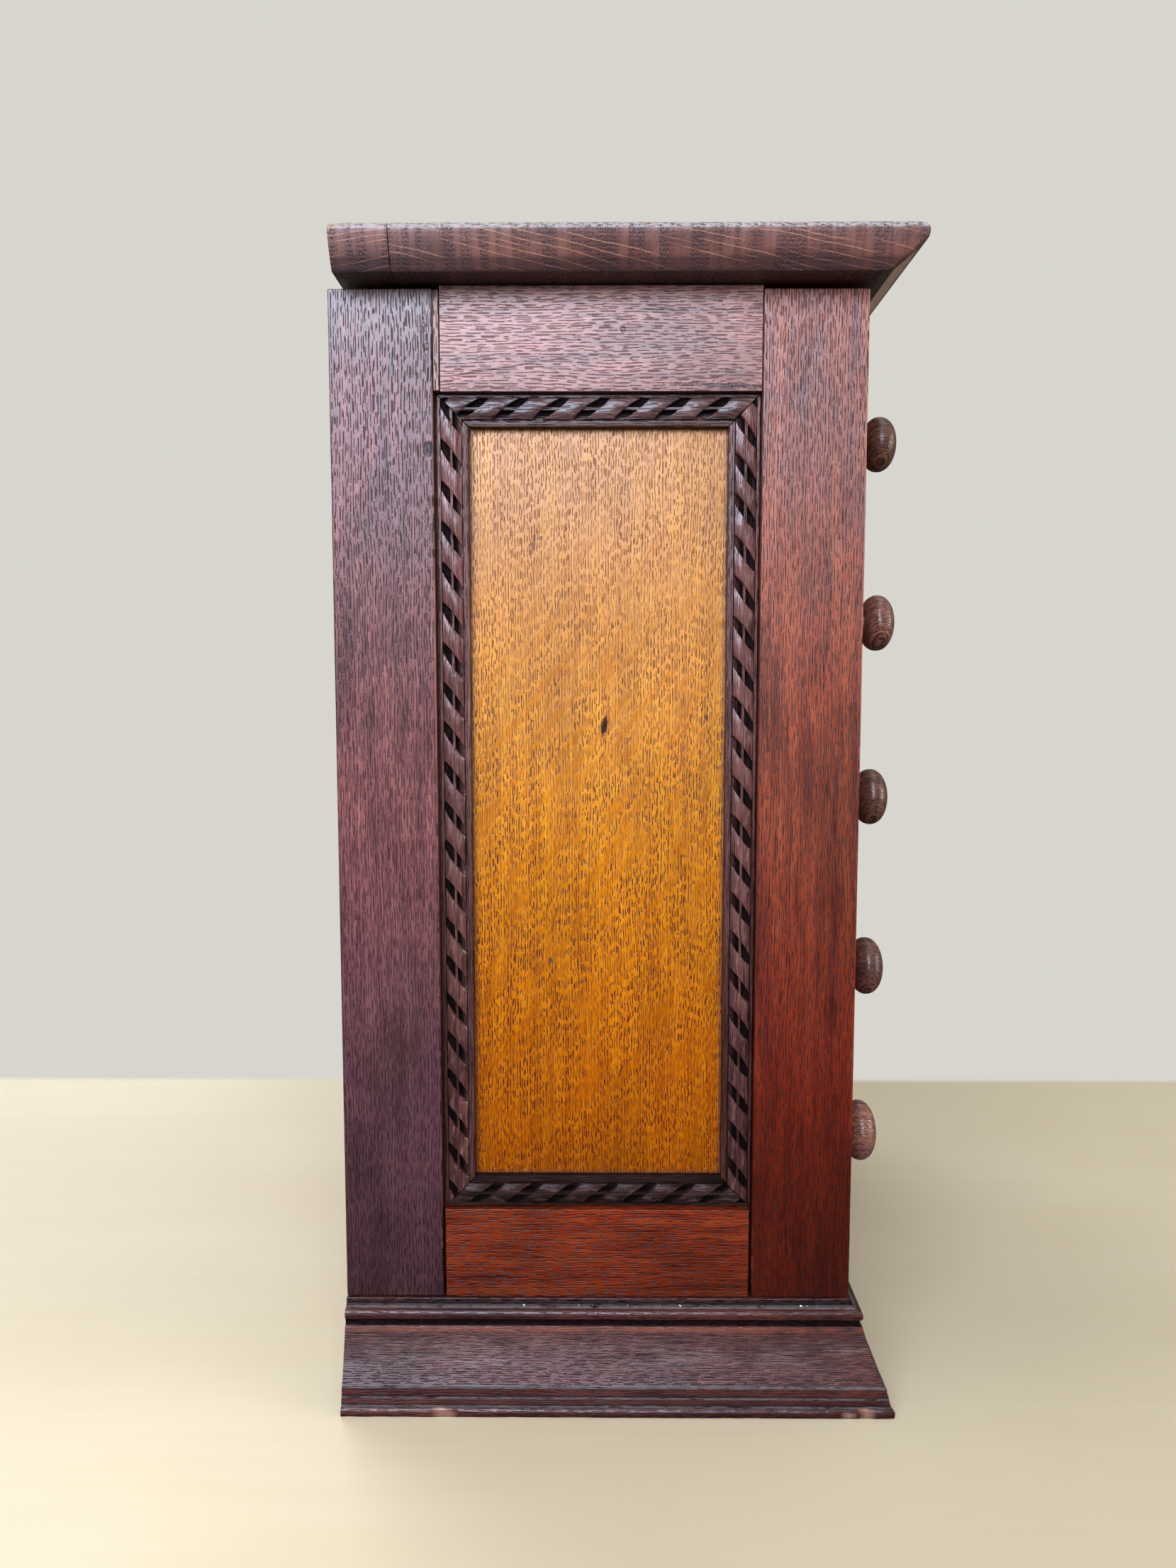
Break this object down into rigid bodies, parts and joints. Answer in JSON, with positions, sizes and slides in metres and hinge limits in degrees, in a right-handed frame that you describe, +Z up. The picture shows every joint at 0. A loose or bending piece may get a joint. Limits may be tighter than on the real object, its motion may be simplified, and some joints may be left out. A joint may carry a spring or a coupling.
{
  "type": "miniature chest of drawers",
  "caption": "Small free-standing oak chest of drawers with panelled sides framed by rope mouldings, a shaped top, a moulded plinth and paired turned knobs.",
  "frame": {"origin": "on the floor, in the middle of the chest's bounding box", "axes": "+Z up; the drawer fronts face -Y and the drawers slide out along -Y; the chest's left side is at -X"},
  "size_m": [0.279, 0.192, 0.381],
  "materials": {
    "frame_oak": "dark red-brown stained oak, worn satin varnish",
    "panel_oak": "golden quarter-sawn oak, satin varnish",
    "rope_oak": "dark stained carved oak, satin varnish with grime in the hollows",
    "slip_wood": "pale unstained slip",
    "top_oak": "stained oak showing end grain at the sides, worn top edge",
    "plinth_oak": "dark stained moulded oak, satin varnish",
    "inside_wood": "bare aged softwood",
    "drawer_front_oak": "red-brown stained oak, satin varnish",
    "drawer_lining": "bare pale drawer lining",
    "knob_oak": "turned brown oak, semi-gloss polish worn by handling"
  },
  "bodies": {
    "carcass": {"left_rear_stile": "frame_oak", "left_front_stile": "frame_oak", "left_top_rail": "frame_oak", "left_bottom_rail": "frame_oak", "left_panel": "panel_oak", "left_rope_top": "rope_oak", "left_rope_bottom": "rope_oak", "left_rope_rear": "rope_oak", "left_rope_front": "rope_oak", "right_rear_stile": "frame_oak", "right_front_stile": "frame_oak", "right_top_rail": "frame_oak", "right_bottom_rail": "frame_oak", "right_panel": "panel_oak", "right_rope_top": "rope_oak", "right_rope_bottom": "rope_oak", "right_rope_rear": "rope_oak", "right_rope_front": "rope_oak", "left_packing_slip": "slip_wood", "top_board": "top_oak", "top_rear_strip": "top_oak", "plinth_left": "plinth_oak", "plinth_right": "plinth_oak", "plinth_front": "plinth_oak", "plinth_rear": "inside_wood", "back_board": "inside_wood", "top_rear_rail": "inside_wood", "bottom_board": "inside_wood", "top_front_rail": "frame_oak", "bottom_front_rail": "frame_oak", "dust_board_1": "frame_oak", "dust_board_2": "frame_oak", "dust_board_3": "frame_oak", "dust_board_4": "frame_oak"},
    "drawer_1": {"drawer_1_front": "drawer_front_oak", "drawer_1_box": "drawer_lining", "drawer_1_bottom": "drawer_lining", "drawer_1_knob_left": "knob_oak", "drawer_1_knob_right": "knob_oak"},
    "drawer_2": {"drawer_2_front": "drawer_front_oak", "drawer_2_box": "drawer_lining", "drawer_2_bottom": "drawer_lining", "drawer_2_knob_left": "knob_oak", "drawer_2_knob_right": "knob_oak"},
    "drawer_3": {"drawer_3_front": "drawer_front_oak", "drawer_3_box": "drawer_lining", "drawer_3_bottom": "drawer_lining", "drawer_3_knob_left": "knob_oak", "drawer_3_knob_right": "knob_oak"},
    "drawer_4": {"drawer_4_front": "drawer_front_oak", "drawer_4_box": "drawer_lining", "drawer_4_bottom": "drawer_lining", "drawer_4_knob_left": "knob_oak", "drawer_4_knob_right": "knob_oak"},
    "drawer_5": {"drawer_5_front": "drawer_front_oak", "drawer_5_box": "drawer_lining", "drawer_5_bottom": "drawer_lining", "drawer_5_knob_left": "knob_oak", "drawer_5_knob_right": "knob_oak"}
  },
  "joints": [
    {"name": "drawer_1_slide", "type": "slide", "parent": "carcass", "child": "drawer_1", "axis": [0, -1, 0], "range_m": [0, 0.12]},
    {"name": "drawer_2_slide", "type": "slide", "parent": "carcass", "child": "drawer_2", "axis": [0, -1, 0], "range_m": [0, 0.12]},
    {"name": "drawer_3_slide", "type": "slide", "parent": "carcass", "child": "drawer_3", "axis": [0, -1, 0], "range_m": [0, 0.12]},
    {"name": "drawer_4_slide", "type": "slide", "parent": "carcass", "child": "drawer_4", "axis": [0, -1, 0], "range_m": [0, 0.12]},
    {"name": "drawer_5_slide", "type": "slide", "parent": "carcass", "child": "drawer_5", "axis": [0, -1, 0], "range_m": [0, 0.12]}
  ]
}
